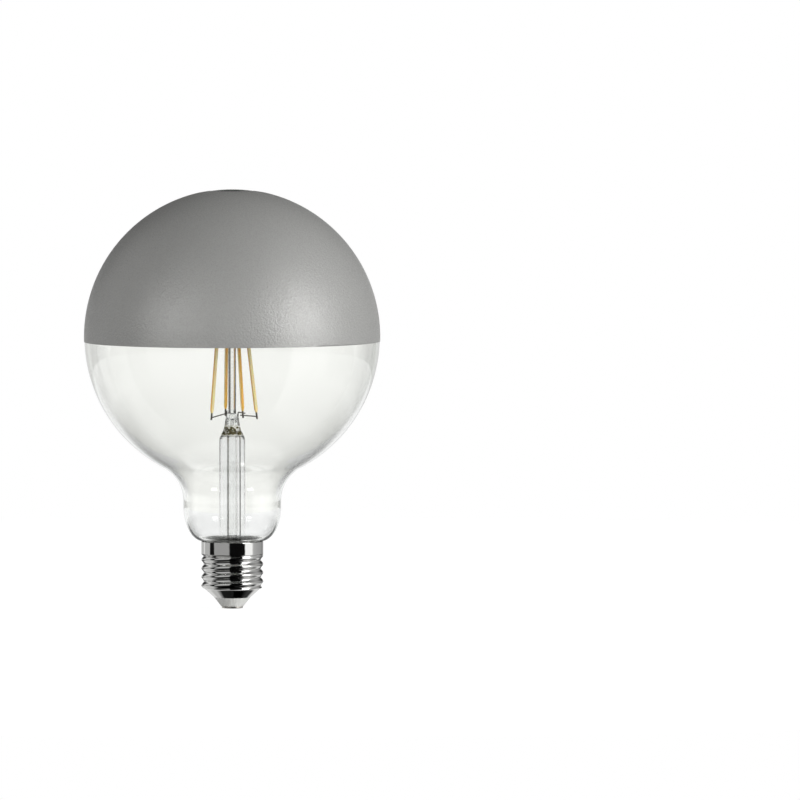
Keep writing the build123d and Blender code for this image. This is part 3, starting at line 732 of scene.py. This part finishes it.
# heights are the rise of a ray, 1 for straight up, and depths are the glass faces that it has crossed
surround = {
    "ambient": 0.22,  # for matt surfaces
    "bands": [(reflectedHigh, 0.06, 0.16), (reflectedLow, -0.30, -0.45), (reflectedDeep, -0.54, -0.66)],
    "under": (-0.90, -0.78, 0.02, 1.0),  # two heights and the levels there: dark straight below
    "over": (0.6, 0.9, 1.0, 0.3),
    "pale": (1.04, 1.04, 1.005, 1.0),
    "near": {"dark": 0.16, "inner": 0.027, "outer": 0.047},  # dark flats on the diagonals, through the globe
    "far": {"dark": 0.1, "inner": 0.067, "outer": 0.083},  # and through the stem as well
    "stemDepth": 5.5,
    "top": (0.08, 0.18), "topLevel": 0.12, "topFar": 0.3,  # what lies higher is dark through the glass
    "rimDepth": (2.0, 3.0), "rimLevel": 0.55,
}


def diagonalFlats(pale, dark, inner, outer):
    stops = [(0.0, pale)]
    for quarter in range(4):
        diagonal = (quarter + 0.5) / 4
        stops += [(diagonal - outer, pale), (diagonal - inner, dark)]
        stops += [(diagonal + inner, dark), (diagonal + outer, pale)]
    return stops + [(1.0, pale)]


def makeWorld(w):
    world = bpy.data.worlds.new("studio")
    world.use_nodes = True
    scene.world = world
    tree = world.node_tree
    tree.nodes.clear()
    coords = addNode(tree, "ShaderNodeTexCoord")
    parts = addNode(tree, "ShaderNodeSeparateXYZ", {0: coords.outputs["Generated"]})
    height = parts.outputs["Z"]
    bearing = addNode(tree, "ShaderNodeMath", {0: parts.outputs["X"], 1: parts.outputs["Y"]},
                      operation="ARCTAN2")
    turn = addNode(tree, "ShaderNodeMath", {0: bearing.outputs[0], 1: 2 * math.pi}, operation="DIVIDE")
    share = addNode(tree, "ShaderNodeMath", {0: turn.outputs[0], 1: 1.0},
                    operation="FLOORED_MODULO").outputs[0]
    rays = addNode(tree, "ShaderNodeLightPath").outputs

    # mirrored by metal and paint
    mirror = addNode(tree, "ShaderNodeValToRGB", {"Fac": share}, reflected).outputs[0]
    for stops, start, full in w["bands"]:
        band = addNode(tree, "ShaderNodeValToRGB", {"Fac": share}, stops)
        within = addNode(tree, "ShaderNodeMapRange", {"Value": height, "From Min": start, "From Max": full})
        mirror = addNode(tree, "ShaderNodeMix", {"Factor": within.outputs[0], 6: mirror, 7: band.outputs[0]},
                         data_type="RGBA").outputs[2]
    ends = []
    for low, high, lowLevel, highLevel in (w["under"], w["over"]):
        ends.append(addNode(tree, "ShaderNodeMapRange", {
            "Value": height, "From Min": low, "From Max": high, "To Min": lowLevel, "To Max": highLevel}))
    level = addNode(tree, "ShaderNodeMath", {0: ends[0].outputs[0], 1: ends[1].outputs[0]},
                    operation="MULTIPLY")
    mirrored = addNode(tree, "ShaderNodeBackground", {"Color": mirror, "Strength": level.outputs[0]})

    # seen through the glass
    near = addNode(tree, "ShaderNodeValToRGB", {"Fac": share}, diagonalFlats(w["pale"], **w["near"]))
    far = addNode(tree, "ShaderNodeValToRGB", {"Fac": share}, diagonalFlats(w["pale"], **w["far"]))
    pastStem = addNode(tree, "ShaderNodeMath", {0: rays["Transmission Depth"], 1: w["stemDepth"]},
                       operation="GREATER_THAN").outputs[0]
    outlook = addNode(tree, "ShaderNodeMix", {"Factor": pastStem, 6: near.outputs[0], 7: far.outputs[0]},
                      data_type="RGBA")
    topLevel = addNode(tree, "ShaderNodeMath", {0: pastStem, 1: w["topFar"], 2: w["topLevel"]},
                       operation="MULTIPLY_ADD")
    top = addNode(tree, "ShaderNodeMapRange", {
        "Value": height, "From Min": w["top"][0], "From Max": w["top"][1],
        "To Min": 1.0, "To Max": topLevel.outputs[0]})
    rim = addNode(tree, "ShaderNodeMapRange", {
        "Value": rays["Transmission Depth"], "From Min": w["rimDepth"][0], "From Max": w["rimDepth"][1],
        "To Min": w["rimLevel"], "To Max": 1.0})
    clear = addNode(tree, "ShaderNodeMath", {0: top.outputs[0], 1: rim.outputs[0]}, operation="MULTIPLY")
    through = addNode(tree, "ShaderNodeBackground", {
        "Color": outlook.outputs[2], "Strength": clear.outputs[0]})

    # each kind of ray gets its own surround
    sky = addNode(tree, "ShaderNodeBackground", {"Color": white, "Strength": w["ambient"]})
    paper = addNode(tree, "ShaderNodeBackground", {"Color": white})
    layers = (("Is Glossy Ray", mirrored), ("Is Transmission Ray", through), ("Is Camera Ray", paper))
    for ray, shown in layers:
        sky = addNode(tree, "ShaderNodeMixShader", {0: rays[ray], 1: sky.outputs[0], 2: shown.outputs[0]})
    addNode(tree, "ShaderNodeOutputWorld", {"Surface": sky.outputs[0]})


makeFloor(sweep)
for name, setting in lamps.items():
    makeLamp(name, *setting)
makeWorld(surround)
print("studio lit")

scene.cycles.max_bounces = 32  # a ray crosses many glass faces
scene.cycles.transmission_bounces = 32
scene.cycles.glossy_bounces = 8
scene.view_settings.view_transform = "Standard"
